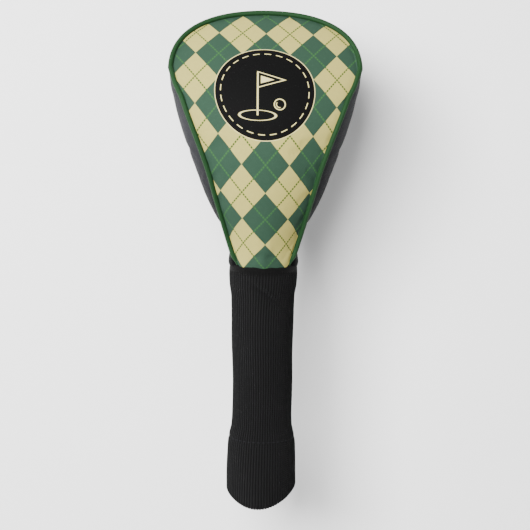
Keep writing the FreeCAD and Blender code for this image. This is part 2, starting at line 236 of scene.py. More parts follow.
# ---- meshes
def new_mesh(name, points, faces, uv=None, crease=35):
    """An object from points in millimetres. uv gives one pair per corner of each face, in order.
    Edges that turn by more than crease degrees look sharp."""
    mesh = bpy.data.meshes.new(name)
    mesh.from_pydata((np.asarray(points, float) * MM).tolist(), [], faces)
    if uv is not None:
        layer = mesh.uv_layers.new(name="cloth")
        layer.data.foreach_set("uv", np.asarray(uv, np.float32).ravel())
    mesh.polygons.foreach_set("use_smooth", [True] * len(mesh.polygons))
    mesh.update()
    mesh.set_sharp_from_angle(angle=math.radians(crease))
    piece = bpy.data.objects.new(name, mesh)
    bpy.context.scene.collection.objects.link(piece)
    return piece


def grid_faces(rows, columns, wrap_rows=False, wrap_columns=False):
    """Quads over a grid of points, and the corners of each, counted without wrapping round."""
    i, j = np.arange(rows - (not wrap_rows)), np.arange(columns - (not wrap_columns))
    i, j = (grid.ravel() for grid in np.meshgrid(i, j, indexing="ij"))
    corners = [(i, j), (i + 1, j), (i + 1, j + 1), (i, j + 1)]
    faces = np.stack([(a % rows) * columns + b % columns for a, b in corners], 1)
    return faces, corners


def fan(middle, ring):
    """Triangles from a middle point to each edge of a closed ring of points."""
    return np.stack([np.full(len(ring), middle), ring, np.roll(ring, -1)], 1).tolist()


def closed_rings(name, rings, uv, middles, middle_uvs):
    """A closed surface from rings of points and a point in the middle of each end. uv is per point."""
    rows, columns = rings.shape[:2]
    points = np.concatenate([rings.reshape(-1, 3), middles], 0)
    flat_uv = np.concatenate([uv.reshape(-1, 2), middle_uvs], 0)
    quads, _ = grid_faces(rows, columns, wrap_columns=True)
    ring = np.arange(columns)
    last_ring = ring[::-1] + (rows - 1) * columns
    faces = quads.tolist() + fan(len(points) - 2, ring) + fan(len(points) - 1, last_ring)
    corners = np.concatenate([np.array(f) for f in faces])
    return new_mesh(name, points, faces, flat_uv[corners])


def patch_shell(name, outer, inner, uv):
    """A closed shell between two grids of points of the same size, with a rim all round."""
    rows, columns = outer.shape[:2]
    points = np.concatenate([outer.reshape(-1, 3), inner.reshape(-1, 3)], 0)
    flat_uv = np.concatenate([uv.reshape(-1, 2)] * 2, 0)
    quads, _ = grid_faces(rows, columns)
    under = quads[:, ::-1] + rows * columns
    i, j = np.arange(rows), np.arange(columns)
    right, top = i[1:] * columns + columns - 1, (rows - 1) * columns + j[-2::-1]
    loop = np.concatenate([j, right, top, i[-2:0:-1] * columns])
    after = np.roll(loop, -1)
    rim = np.stack([after, loop, loop + rows * columns, after + rows * columns], 1)
    faces = np.concatenate([quads, under, rim], 0)
    return new_mesh(name, points, faces.tolist(), flat_uv[faces.ravel()])


def tube_ring(name, rings, uv):
    """A closed surface that wraps round both ways, such as a thick sleeve.

    uv has one more row and column."""
    rows, columns = rings.shape[:2]
    faces, corners = grid_faces(rows, columns, wrap_rows=True, wrap_columns=True)
    corner_uv = np.stack([uv[a, b] for a, b in corners], 1)
    return new_mesh(name, rings.reshape(-1, 3), faces.tolist(), corner_uv)


def capped_tube(name, centres, sides, lifts, radii):
    """A tube round a path, from a side and a lift vector and a radius at each of its points."""
    corners = 24
    angle = TAU * np.arange(corners) / corners
    offset = sides[:, None] * np.cos(angle)[None, :, None] + lifts[:, None] * np.sin(angle)[None, :, None]
    rings = centres[:, None] + offset * np.asarray(radii)[:, None, None]
    run = run_along(centres)[:, None]
    uv = np.stack(np.broadcast_arrays(run, (angle * np.mean(radii))[None, :]), -1)
    return closed_rings(name, rings, uv, centres[[0, -1]], uv[[0, -1], 0])


# ---- materials
class Value:
    """A socket or number in a node tree, with arithmetic that adds Math nodes."""

    def __init__(self, tree, socket):
        self.tree, self.socket = tree, socket

    def math(self, operation, *others):
        """The result of a Math node with this value and the others as its inputs."""
        node = self.tree.nodes.new("ShaderNodeMath")
        node.operation = operation
        for place, value in enumerate((self, *others)):
            plug(self.tree, value, node.inputs[place])
        return Value(self.tree, node.outputs[0])

    def __add__(self, other):
        return self.math("ADD", other)

    def __sub__(self, other):
        return self.math("SUBTRACT", other)

    def __mul__(self, other):
        return self.math("MULTIPLY", other)

    def __truediv__(self, other):
        return self.math("DIVIDE", other)

    def below(self, limit, softness):
        """1 where the value is below limit, 0 above it, with a soft step."""
        node = self.tree.nodes.new("ShaderNodeMapRange")
        node.interpolation_type = "SMOOTHSTEP"
        plug(self.tree, self, node.inputs["Value"])
        step = {"From Min": limit - softness, "From Max": limit + softness, "To Min": 1, "To Max": 0}
        for key, number in step.items():
            node.inputs[key].default_value = number
        return Value(self.tree, node.outputs["Result"])

    def nearest_whole(self):
        """Distance to the nearest whole number."""
        return (self - self.math("ROUND")).math("ABSOLUTE")


def plug(tree, value, socket):
    """Link a Value to a socket, or set the socket to a number or a colour."""
    if isinstance(value, Value):
        tree.links.new(value.socket, socket)
    elif isinstance(value, (int, float)):
        socket.default_value = value
    else:
        socket.default_value = (*value, 1.0)


def srgb(*display):
    """Linear colour from 0 to 255 display values."""
    return tuple(((c / 255 + 0.055) / 1.055) ** 2.4 if c > 10 else c / 255 / 12.92 for c in display)


def mix_colours(tree, share, first, second):
    """The first colour where share is 0 and the second where it is 1."""
    node = tree.nodes.new("ShaderNodeMix")
    node.data_type = "RGBA"
    plug(tree, share, node.inputs[0])
    plug(tree, first, node.inputs[6])
    plug(tree, second, node.inputs[7])
    return Value(tree, node.outputs[2])


def texture(tree, kind, vector, output="Fac", **settings):
    """A texture node's output. Settings are sockets by name, or properties of the node."""
    node = tree.nodes.new(kind)
    for key, value in settings.items():
        if hasattr(node, key):
            setattr(node, key, value)
        else:
            plug(tree, value, node.inputs[key.replace("_", " ").title()])
    tree.links.new(vector, node.inputs["Vector"])
    return Value(tree, node.outputs[output])


class Material:
    """A Principled material under construction."""

    def __init__(self, name, roughness, specular=0.5, sheen=0.0, sheen_tint=(1, 1, 1), sheen_roughness=0.4):
        self.data = bpy.data.materials.new(name)
        self.data.use_nodes = True
        self.tree = self.data.node_tree
        self.shader = self.tree.nodes["Principled BSDF"]
        sockets = {"Roughness": roughness, "Specular IOR Level": specular, "Sheen Weight": sheen}
        sockets |= {"Sheen Roughness": sheen_roughness, "Sheen Tint": (*sheen_tint, 1)}
        for key, value in sockets.items():
            self.shader.inputs[key].default_value = value

    def place(self):
        """The socket of the object's own coordinates, in metres."""
        return self.tree.nodes.new("ShaderNodeTexCoord").outputs["Object"]

    def cloth(self):
        """(u, v) along the cloth, from the mesh."""
        node = self.tree.nodes.new("ShaderNodeUVMap")
        node.uv_map = "cloth"
        split = self.tree.nodes.new("ShaderNodeSeparateXYZ")
        self.tree.links.new(node.outputs[0], split.inputs[0])
        return Value(self.tree, split.outputs[0]), Value(self.tree, split.outputs[1])

    def flat_vector(self, x, y):
        """A vector with no z from two Values."""
        node = self.tree.nodes.new("ShaderNodeCombineXYZ")
        for value, socket in zip((x, y), node.inputs):
            plug(self.tree, value, socket)
        return node.outputs[0]

    def noise(self, scale, detail):
        """A noise texture over the object."""
        return texture(self.tree, "ShaderNodeTexNoise", self.place(), scale=scale, detail=detail)

    def colour(self, value):
        plug(self.tree, value, self.shader.inputs["Base Color"])

    def colours(self, share, first, second):
        """The first colour where share is 0 and the second where it is 1."""
        self.colour(mix_colours(self.tree, share, first, second))

    def roughness(self, value):
        plug(self.tree, value, self.shader.inputs["Roughness"])

    def bump(self, height, distance):
        """Bumps of the given height map. distance is the height in metres where the map is 1."""
        node = self.tree.nodes.new("ShaderNodeBump")
        node.inputs["Distance"].default_value = distance
        plug(self.tree, height, node.inputs["Height"])
        self.tree.links.new(node.outputs[0], self.shader.inputs["Normal"])


# ---- the print on the crown panel
DIAMOND_HALF = (15.88, 19.53)  # half width and half height of a diamond, millimetres of cloth
PRINT_Z = 118.4  # height of the print's centre
DISC_CENTRE = (-0.8, 3.05)  # from the print's own centre, millimetres of cloth
DISC_R = 33.5
DISC_EDGE = 0.5  # width of its cream edge
DISC_STITCH_R = 0.875 * DISC_R
DISC_STITCHES = 24
EMBLEM_SHIFT = (-0.6, -2.0)
DASHES = 12  # along the side of a diamond
DASH_HALF = 0.021  # half width of a dashed line, as a share of a diamond's side
WEAVE_PITCH = 1.25
INK_EDGE = 0.15  # softness of the print's edges
PRINT_SHIFT = 0.66  # how far the print sits to the right of the panel's centre line
PRINT_TILT = math.radians(-0.5)
PRINT_SKEW = 0.013  # how far the cloth is pulled out of square
TEAL = srgb(38, 58, 46)
TAN = srgb(149, 141, 79)
DASH_ON_TEAL = srgb(46, 80, 44)
DASH_ON_TAN = srgb(42, 68, 28)
BLACK_INK = srgb(9, 9, 9)
CREAM = srgb(186, 176, 122)


def meridian_length(face, z):
    """Length of cloth up the middle of a face from the neck seam to height z."""
    heights = np.linspace(0, 182, 1821)
    middle = np.stack([heights, depth_at(face, heights)], -1)
    return np.interp(z, heights, run_along(middle))


def cloth_uv(face, points):
    """Distances along the cloth, in millimetres, from the panel's centre line and up from the neck."""
    x, z = points[..., 0], points[..., 2]
    radius = smooth(face["curve"], z)
    across = radius * np.arcsin(np.clip(x / radius, -0.99, 0.99))
    return np.stack([across, meridian_length(face, np.maximum(z, 0)) + np.minimum(z, 0)], -1)


def ring_mask(distance, radius, half_width, softness):
    """1 on a ring of the given radius, from the distance to its centre."""
    return (distance - radius).math("ABSOLUTE").below(half_width, softness)


# the emblem's shapes, in millimetres from its middle
POLE_X, POLE_Y, POLE_HALF = -4.0, 1.0, (0.55, 15.5)
FLAG_Y, FLAG_HALF, FLAG_TAPER = 10.6, 5.9, 0.33
STRIPE_HALF, STRIPE_GAP = 3.6, 2.0
HOLE_Y, HOLE_HALF, HOLE_LINE = -14.5, (12.0, 3.4), 0.066
BALL_X, BALL_Y, BALL_R, SHADE_R = 10.5, -6.8, 3.6, 2.2
LINE = 0.36  # half the width of its lines
SOFT = 0.12


def emblem_mask(x, y):
    """A golf flag in its hole with a ball beside it, as outlines. x and y are millimetres on the disc."""
    from_pole = x - POLE_X
    pole = from_pole.math("ABSOLUTE").below(POLE_HALF[0], SOFT)
    pole = pole * (y - POLE_Y).math("ABSOLUTE").below(POLE_HALF[1], SOFT)
    height = (y - FLAG_Y).math("ABSOLUTE") + from_pole * FLAG_TAPER
    flag = (height - FLAG_HALF).math("MAXIMUM", from_pole * -1.0).math("ABSOLUTE").below(LINE, SOFT)
    stripe_edge = (from_pole - STRIPE_GAP) * -1.0
    stripe = (height - STRIPE_HALF).math("MAXIMUM", stripe_edge).below(0.0, SOFT)
    across, up = from_pole / HOLE_HALF[0], (y - HOLE_Y) / HOLE_HALF[1]
    from_hole = (across * across + up * up).math("SQRT")
    hole = (from_hole - 1.0).math("ABSOLUTE").below(HOLE_LINE, 0.03)
    ball_x, ball_y = x - BALL_X, y - BALL_Y
    from_ball = (ball_x * ball_x + ball_y * ball_y).math("SQRT")
    ball = ring_mask(from_ball, BALL_R, LINE, SOFT)
    shade = ring_mask(from_ball, SHADE_R, 0.3, SOFT)
    shade = shade * ball_x.below(0.4, 0.5) * ball_y.below(1.2, 0.5)
    mask = pole
    for part in (flag, stripe, hole, ball, shade):
        mask = mask.math("MAXIMUM", part)
    return mask


def printed_cloth():
    """Argyle diamonds crossed by dashed lines, with a black disc that carries the emblem."""
    material = Material("printed_cloth", roughness=0.7, specular=0.03)
    tree = material.tree
    u, v = material.cloth()
    centre_v = float(meridian_length(FRONT, PRINT_Z))
    cos, sin = math.cos(PRINT_TILT), math.sin(PRINT_TILT)
    u, v = u - PRINT_SHIFT, v - centre_v
    x = u * cos + v * (sin + PRINT_SKEW)
    y = v * cos - u * (sin - PRINT_SKEW)
    # diamonds: whole numbers of first and second are the lines through the middles of the diamonds
    column, row = x / DIAMOND_HALF[0], (y + centre_v) / DIAMOND_HALF[1]
    first, second = (column + row) / 2.0, (column - row) / 2.0
    parity = (first.math("ROUND") + second.math("ROUND")).math("ABSOLUTE").math("MODULO", 2.0)
    tan_share = parity.math("GREATER_THAN", 0.5)
    ground = mix_colours(tree, tan_share, TEAL, TAN)
    thread = mix_colours(tree, tan_share, DASH_ON_TEAL, DASH_ON_TAN)
    dashes = None
    for across, along in ((first, second), (second, first)):
        line = across.nearest_whole().below(DASH_HALF, DASH_HALF / 3)
        dash = (along * float(DASHES)).nearest_whole().below(0.32, 0.06)
        both = line * (dash * 0.75 + 0.25)
        dashes = both if dashes is None else dashes.math("MAXIMUM", both)
    printed = mix_colours(tree, dashes, ground, thread)
    # the disc, its outer ring and its dashed ring
    x, y = x - DISC_CENTRE[0], y - DISC_CENTRE[1]
    distance = (x * x + y * y).math("SQRT")
    turn = y.math("ARCTAN2", x) * (DISC_STITCHES / TAU)
    printed = mix_colours(tree, distance.below(DISC_R, INK_EDGE), printed, CREAM)
    printed = mix_colours(tree, distance.below(DISC_R - DISC_EDGE, INK_EDGE), printed, BLACK_INK)
    stitches = ring_mask(distance, DISC_STITCH_R, 0.3, SOFT)
    stitches = stitches * (turn + 0.25).nearest_whole().below(0.29, 0.02)
    emblem = emblem_mask(x - EMBLEM_SHIFT[0], y - EMBLEM_SHIFT[1])
    printed = mix_colours(tree, stitches.math("MAXIMUM", emblem), printed, CREAM)
    # the cloth's own weave and a faint unevenness of the ink
    slant = 0.3
    weave = ((u + v * slant) * (TAU / WEAVE_PITCH)).math("SINE")
    weave = weave * ((v - u * slant) * (TAU / WEAVE_PITCH)).math("SINE")
    blotch_place = material.flat_vector(u * 0.35, v * 0.35)
    blotch = texture(tree, "ShaderNodeTexNoise", blotch_place, scale=1.0, detail=3.0)
    shade = (blotch - 0.5) * 0.12 + weave * 0.05 + 1.0
    hue = tree.nodes.new("ShaderNodeHueSaturation")
    plug(tree, printed, hue.inputs["Color"])
    plug(tree, shade, hue.inputs["Value"])
    material.colour(Value(tree, hue.outputs[0]))
    material.bump(weave * 0.5 + blotch * 0.6, 0.00006)
    return material.data


def fabric(name, colour, roughness=0.8, sheen=0.25, thread=0.5, tint=(1, 1, 1)):
    """Plain woven cloth. thread is the spacing of its threads, in millimetres."""
    material = Material(name, roughness, specular=0.15, sheen=sheen, sheen_tint=tint)
    u, v = material.cloth()
    weave = (u * (TAU / thread)).math("SINE") * (v * (TAU / thread)).math("SINE")
    noise = material.noise(220.0, 4.0)
    share = (noise - 0.5) * 0.8 + weave * 0.12 + 0.5
    material.colours(share, tuple(c * 0.78 for c in colour), tuple(c * 1.2 for c in colour))
    material.bump(weave * 0.5 + noise * 0.5, 0.00006)
    return material.data


def height_above_neck(material):
    """The object's own z as a Value, in metres."""
    split = material.tree.nodes.new("ShaderNodeSeparateXYZ")
    material.tree.links.new(material.place(), split.inputs[0])
    return Value(material.tree, split.outputs[2])


def leatherette():
    """Pebbled black leatherette. Its colour is paler higher up, a painted sheen, and darker at the neck, a
    painted shade; it also varies a little at random.
    """
    material = Material("leatherette", 0.5, specular=0.005)
    edges = {"scale": 950.0, "feature": "DISTANCE_TO_EDGE"}
    cells = texture(material.tree, "ShaderNodeTexVoronoi", material.place(), "Distance", **edges)
    pores = material.noise(2600.0, 2.0)
    broad = material.noise(60.0, 3.0)
    # painted shade: the colour darkens towards the neck; painted sheen: the colour above it is paler, and
    # varies at random
    painted_neck_shade = height_above_neck(material).below(0.055, 0.05)
    sheen_and_tone = mix_colours(material.tree, broad, srgb(35, 35, 38), srgb(45, 45, 48))
    material.colours(painted_neck_shade, sheen_and_tone, srgb(12, 12, 13))
    material.roughness(broad * 0.12 + 0.38)
    material.bump(cells.math("MINIMUM", 0.25) * 3.0 + pores * 0.3, 0.00008)
    return material.data


def knit_material():
    """Ribbed knit. u counts ribs, which are in the mesh, and v counts stitches, which are in the bump."""
    material = Material("rib_knit", 0.9, specular=0.08, sheen=0.02, sheen_roughness=0.5)
    u, v = material.cloth()
    across = (u + 0.5).nearest_whole()
    chevron = (v + across * 1.5).nearest_whole()
    stitch = (chevron * 2.0).math("POWER", 0.7)
    fuzz = material.noise(1500.0, 4.0)
    broad = material.noise(45.0, 3.0)
    # The colour holds painted light: each rib's crest is painted lighter than its grooves, a painted
    # highlight and shade, and the knit just below the head is painted darkest, a painted shade.
    below_neck = (v * STITCH_V).below(-4.5, 1.5)
    share = (fuzz * 0.45 + stitch * -0.25 + broad * 0.3 + across * 0.9 - 0.05) * below_neck
    material.colours(share, srgb(4, 4, 4), srgb(17, 17, 18))
    material.bump(stitch * -0.7 + fuzz * 0.5, 0.0002)
    return material.data


def foam():
    """Open-cell foam."""
    material = Material("foam", 0.95, specular=0.1)
    pores = texture(material.tree, "ShaderNodeTexVoronoi", material.place(), "Distance", scale=900.0)
    material.colours(pores, srgb(60, 60, 62), srgb(110, 110, 112))
    material.bump(pores, 0.0004)
    return material.data


def plush():
    """Short-piled plush lining."""
    material = Material("plush", 0.98, specular=0.1, sheen=0.8, sheen_roughness=0.6)
    pile = material.noise(700.0, 5.0)
    tufts = material.noise(120.0, 2.0)
    material.colours(pile, srgb(22, 22, 24), srgb(64, 63, 66))
    material.bump(pile * 0.5 + tufts * 0.8, 0.0009)
    return material.data


def elastic():
    """Woven elastic: raised bands of thread running round it."""
    material = Material("woven_elastic", 0.8, specular=0.25, sheen=0.2)
    bands = (height_above_neck(material) * (TAU / 0.0011)).math("SINE")
    noise = material.noise(900.0, 3.0)
    material.colours(bands * 0.3 + noise * 0.6, srgb(168, 166, 158), srgb(214, 212, 204))
    material.bump(bands * 0.5 + noise * 0.4, 0.0002)
    return material.data


def twisted_thread(name, colour):
    """Sewing thread."""
    material = Material(name, 0.8, specular=0.08)
    wave = {"scale": 900.0, "bands_direction": "DIAGONAL"}
    twist = texture(material.tree, "ShaderNodeTexWave", material.place(), **wave)
    material.colours(twist, tuple(c * 0.7 for c in colour), colour)
    material.bump(twist, 0.00005)
    return material.data


def finish_with(piece, material):
    """Give a piece one material in place of any it has."""
    piece.data.materials.clear()
    piece.data.materials.append(material)


# ---- cloth simulation of the padded covers
SETTLE_FRAMES = 20
PUFF = 0.7  # how far the padding may push a cover out, or a fold fall in, millimetres
PRESSURE = 3.0
SLACK = 0.005  # how much larger than its outline each cover is cut


def settle(points, wrap, pressure):
    """How far each point of a panel's grid moves once it is sewn down along its edges and filled.

    The cloth is cut slightly too large for the grid. wrap says that the grid's columns close up, and then
    its first row is its middle. Returns the points' moves, in millimetres."""
    rows, columns = points.shape[:2]
    quads, _ = grid_faces(rows, columns, wrap_columns=wrap)
    piece = new_mesh("settling", points.reshape(-1, 3), quads.tolist())
    sewn = np.zeros((rows, columns), bool)
    sewn[-1] = True
    if not wrap:
        sewn[0] = sewn[:, 0] = sewn[:, -1] = True
    group = piece.vertex_groups.new(name="sewn")
    group.add(np.flatnonzero(sewn.ravel()).tolist(), 1.0, "REPLACE")
    cloth = piece.modifiers.new("cloth", "CLOTH")
    settings = cloth.settings
    settings.quality = 6
    settings.vertex_group_mass = "sewn"
    settings.use_pressure = True
    settings.uniform_pressure_force = pressure
    settings.shrink_min = -SLACK
    settings.bending_stiffness = 0.2
    settings.effector_weights.gravity = 0
    cloth.collision_settings.use_collision = False
    cloth.point_cache.frame_end = SETTLE_FRAMES
    for number in range(1, SETTLE_FRAMES + 1):
        bpy.context.scene.frame_set(number)
    settled = piece.evaluated_get(bpy.context.evaluated_depsgraph_get()).to_mesh()
    moved = np.empty(rows * columns * 3, np.float32)
    settled.vertices.foreach_get("co", moved)
    bpy.data.objects.remove(piece)
    bpy.context.scene.frame_set(1)
    return moved.reshape(points.shape) / MM - points


def resample(grid, rows, columns, wrap):
    """A grid of numbers read at more rows and columns, with a smooth cubic between them.

    wrap says that its columns close up."""
    for axis, (count, closed) in enumerate(((rows, False), (columns, wrap))):
        size = grid.shape[axis]
        at = np.arange(count) * (size if closed else size - 1) / (count if closed else count - 1)
        low = np.floor(at).astype(int)
        f = at - low
        weights = [
            -0.5 * f + f**2 - 0.5 * f**3,
            1 - 2.5 * f**2 + 1.5 * f**3,
            0.5 * f + 2 * f**2 - 1.5 * f**3,
            -0.5 * f**2 + 0.5 * f**3,
        ]
        total = 0
        for step, weight in enumerate(weights):
            index = (low + step - 1) % size if closed else np.clip(low + step - 1, 0, size - 1)
            total = total + np.take(grid, index, axis) * (weight[:, None] if axis == 0 else weight[None, :])
        grid = total
    return grid


def puffed(surface, normal, stride, wrap):
    """How much further a cover stands out than it does on average once it has settled, at each grid point.

    The simulated grid takes every stride-th row and column of it."""
    coarse = (slice(None, None, stride[0]), slice(None, None, stride[1]))
    facing = np.cross(np.gradient(surface, axis=0), np.gradient(surface, axis=1))
    pressure = PRESSURE * np.sign(np.sum(facing * normal))
    height = np.sum(settle(surface[coarse], wrap, pressure) * normal[coarse], -1)
    height = PUFF * np.tanh(height / PUFF)
    return resample(height - height.mean(), *surface.shape[:2], wrap)


# ---- crown and back panels
# (wavelength, phase, share) of the waves along a puckered seam
SEAM_WAVES = [(17.0, 0.3, 0.35), (9.3, 1.9, 0.4), (5.9, 4.1, 0.25)]
FACE_MIDDLE = np.array([0.0, 98.0])  # (x, z) of the point that a face's rings close in on
NO_DIVE = {"drop": 0.0, "reach": 3.0, "pucker": 0.0}


def ripple(run, away, reach, spread):
    """The uneven wave of a puckered seam. It is strongest just inside the seam and dies away from it."""
    wave = sum(share * np.sin(TAU * run / length + phase) for length, phase, share in SEAM_WAVES)
    return wave * np.exp(-away / (spread * reach)) * ramp(away, 0, 0.6 * reach)


def outline_points(face, inset, lower):
    """A panel's outline in front view, closed, from the middle of its lower edge, evenly spaced."""
    corner = face["corner"]
    t = np.linspace(0, 1, 240)
    x, z = seam_xz(face, t)
    x0, z0 = seam_xz(face, t - SEAM_STEP)
    x1, z1 = seam_xz(face, t + SEAM_STEP)
    length = np.hypot(x1 - x0, z1 - z0)
    rim = np.stack([x - inset * (z1 - z0) / length, z + inset * (x1 - x0) / length], -1)
    rim = rim[rim[:, 1] > lower + corner + 0.5]
    side = float(smooth(face["seam"], lower + corner)) - inset
    turn = np.linspace(-math.pi / 2, 0, 12)
    arc = np.stack([side - corner + corner * np.cos(turn), lower + corner + corner * np.sin(turn)], -1)
    right = np.concatenate([[[0, lower]], arc, rim], 0)
    left = right[-2:0:-1] * [-1, 1]
    loop = np.concatenate([right, left, right[:1]], 0)
    run = run_along(loop)
    at = np.linspace(0, run[-1], 400 + 1)[:-1]
    return read_at(at, run, loop), at


def nearest(points, border):
    """Distance from each point to the nearest of the border's, and that one's number."""
    flat = points.reshape(-1, 3)
    best = np.full(len(flat), 1e9)
    which = np.zeros(len(flat), int)
    for k in range(len(border)):
        squared = np.sum((flat - border[k]) ** 2, 1)
        closer = squared < best
        best = np.where(closer, squared, best)
        which = np.where(closer, k, which)
    return np.sqrt(best).reshape(points.shape[:-1]), which.reshape(points.shape[:-1])


def face_shell(name, face, depths, inset, lower, edge, rings=71):
    """A closed panel between two depths below the front or back surface.

    inset is how far its edge is from the seam and lower the height of its lower edge. Towards its edge it
    dives by the edge's drop within its reach, and puckers a little along its seam."""
    reach = edge["reach"]
    outline, run = outline_points(face, inset, lower)
    share = np.sin(np.linspace(0.02, 1, rings) * math.pi / 2)[:, None, None]
    flat = FACE_MIDDLE + (outline - FACE_MIDDLE) * share
    x, z = flat[..., 0], flat[..., 1]
    surface = face_point(face, x, z)
    normal = face_normals(face, x, z)
    away, number = nearest(surface, surface[-1])
    wave = ripple(run[number], away, reach, 1.6)
    sink = depths[0] + edge["drop"] * np.exp(-((away / reach) ** 2)) - edge["pucker"] * wave
    if edge is not NO_DIVE:
        sink = sink - puffed(surface, normal, (2, 4), wrap=True)
    thick = depths[1] - depths[0]
    outer = surface - normal * sink[..., None]
    inner = (surface - normal * (sink + thick)[..., None])[::-1]
    rim = surface[-1:] - normal[-1:] * (sink[-1:, :, None] + thick / 2)
    spread = outline - FACE_MIDDLE
    push = unit(np.stack([spread[:, 0], 0 * run, spread[:, 1]], -1))
    rim = rim + 0.35 * thick * push[None]
    uv = cloth_uv(face, surface)
    middle_uv = cloth_uv(face, face_point(face, *FACE_MIDDLE[:, None])[0])
    uv = np.concatenate([uv, uv[-1:], uv[::-1]], 0)
    middles = [outer[0].mean(0), inner[-1].mean(0)]
    return closed_rings(name, np.concatenate([outer, rim, inner], 0), uv, middles, [middle_uv] * 2)


# ---- side panels
def side_shell(name, right, depths, margins, foot, top_gap, edge, rows=151, columns=57):
    """A closed side panel between two depths below its surface, from the front seam to the back seam.

    margins are its distances from the two seams. It starts at foot along them and ends top_gap from the
    centre line at the top."""
    reach = edge["reach"]
    t = np.linspace(foot, 1.0, rows)[:, None]
    chord = gusset_width(t)
    along = np.linspace(0, 1, columns)[None, :]
    along = 0.5 - 0.5 * np.cos(along * math.pi) * (1 - 0.25 * np.sin(along * math.pi) ** 2)
    share = margins[0] / chord + (1 - (margins[0] + margins[1]) / chord) * along
    surface = side_point(t, share)
    normal = side_normals(t, share)
    run = run_along(surface[:, columns // 2])[:, None]
    from_front, from_back = share * chord, (1 - share) * chord
    from_top = (run[-1] - run) + 0 * share
    fade = sum(np.exp(-((d / reach) ** 2)) for d in (from_front, from_back)) + 0.4 * np.exp(-(from_top**2))
    wave = ripple(run, np.minimum(from_front, from_back), reach, 1.8)
    sink = depths[0] + edge["drop"] * np.minimum(fade, 1.2) - edge["pucker"] * wave
    if edge is not NO_DIVE:
        sink = sink - puffed(surface, normal, (2, 2), wrap=False)
    outer = surface - normal * sink[..., None]
    inner = surface - normal * (sink + depths[1] - depths[0])[..., None]
    for grid in (outer, inner):
        grid[-1, :, 0] = top_gap
        grid[..., 0] = np.maximum(grid[..., 0], top_gap)
    uv = np.stack([from_front + 0 * share, run + 0 * share], -1)
    if not right:
        outer, inner = outer * MIRROR, inner * MIRROR
    return patch_shell(name, outer, inner, uv)


# ---- piping
PIPING_LIFT = 0.35  # how far the piping stands out of the seam


def piping_tube(name, radius, foot_z, dive):
    """A cord in the front seam, from one side of the neck to the other. Both ends dive into the neck."""
    foot = SIDE_SHARE * (foot_z - FOOT_Z) / (FRONT["wide"]["z"] - FOOT_Z)
    x, z = seam_xz(FRONT, np.linspace(foot, 1, 260))
    lifts = face_normals(FRONT, x, z)
    out = ramp(z, foot_z, foot_z + 8)
    points = face_point(FRONT, x, z) + lifts * (PIPING_LIFT - dive * (1 - out))[:, None]
    radii = radius * (0.6 + 0.4 * out)
    points = np.concatenate([points, points[-2::-1] * MIRROR], 0)
    lifts = np.concatenate([lifts, lifts[-2::-1] * MIRROR], 0)
    radii = np.concatenate([radii, radii[-2::-1]])
    tangents = unit(np.gradient(points, axis=0))
    sides = unit(np.cross(tangents, lifts))
    return capped_tube(name, points, sides, unit(np.cross(sides, tangents)), radii)


# ---- knit sock
RIBS = 76
RIB_POINTS = 6  # mesh points across a rib
RIB_DEPTH = 0.75
INNER_RIB_DEPTH = 0.3
STITCH_V = 1.5  # length of a stitch, millimetres
KNIT = 2.0  # thickness
KNIT_STEP = 1.0  # between the mesh's rings
KNIT_ANGLE = TAU * np.arange(RIBS * RIB_POINTS) / (RIBS * RIB_POINTS)
CUFF_SEWN_Z = -121.0  # the stitches that hold the cuff's turned-in edge
SLACK_WAVES = [(0.32, 2, 23, 0.4), (0.22, 3, -15, 2.0), (0.12, 5, 7.5, 0.0)]  # height, lobes, twist, phase
# (height, radius) of the sock's outside
SOCK_RADIUS = [(-163, 24.6), (-145, 24.2), (-128, 23.5), (-121, 22.9), (-117, 21.9), (-112, 20.9)]
SOCK_RADIUS += [(-104, 20.6), (-88, 20.8), (-66, 21.3), (-45, 21.9), (-22, 22.1), (-12, 23.4), (-5, 23.7)]
SOCK_RADIUS += [(-1.5, 23.5), (1.5, 23.1), (4, 22.2), (10, 22.0)]


def bell(x, width):
    """1 at 0, falling smoothly to nothing on both sides."""
    return np.exp(-((x / width) ** 2))


def knit_folds(angle, z):
    """How far the knit stands out: its slack, a slanting crease below the neck and the cuff's seam."""
    slack = sum(h * np.sin(lobes * angle + z / twist + phase) for h, lobes, twist, phase in SLACK_WAVES)
    slack = slack * ramp(-z, 4, 22)
    front = (angle + math.pi / 2 + math.pi) % TAU - math.pi
    along = front * 22 - 4
    slant = 0.75 * along
    crease = -2.0 * bell(z + 19 + slant, 1.7) * bell(along, 8)
    swell = 0.9 * bell(z + 14 + slant, 3.5) * bell(along, 10)
    stitched = -0.55 * bell(z - CUFF_SEWN_Z, 1.3)
    return slack + crease + swell + stitched


def knit_lean(angle, z):
    """How far the ribs turn round the sock, in radians: they fan a little just below the neck."""
    return 0.10 * np.sin(angle + 2.2) * ramp(z, -45, -2) + 0.02 * np.sin(z / 19)


def knit_surface(angle, z, outside=True):
    """A point of the knit's outer or inner face at an angle round the shaft axis and a height."""
    turned = angle + knit_lean(angle, z)
    rib = np.abs(np.cos(RIBS * angle / 2)) ** 0.75 - 1
    radius = smooth(SOCK_RADIUS, z) + knit_folds(turned, z) * (1 - ramp(z, -1.5, 3))
    if outside:
        radius = radius + RIB_DEPTH * rib * (1 - ramp(z, -5.5, -1.5))
    else:
        radius = radius - KNIT - INNER_RIB_DEPTH * rib
    return circle(turned, radius, z)


def knit_tube(name, rings, lengths):
    """The mesh of a knit tube, from rings of points and how far along the knit each one lies."""
    u = np.linspace(0, RIBS, len(KNIT_ANGLE) + 1)
    v = np.concatenate([lengths, lengths[:1]]) / STITCH_V
    return tube_ring(name, rings, np.stack(np.broadcast_arrays(u[None, :], v[:, None]), -1))


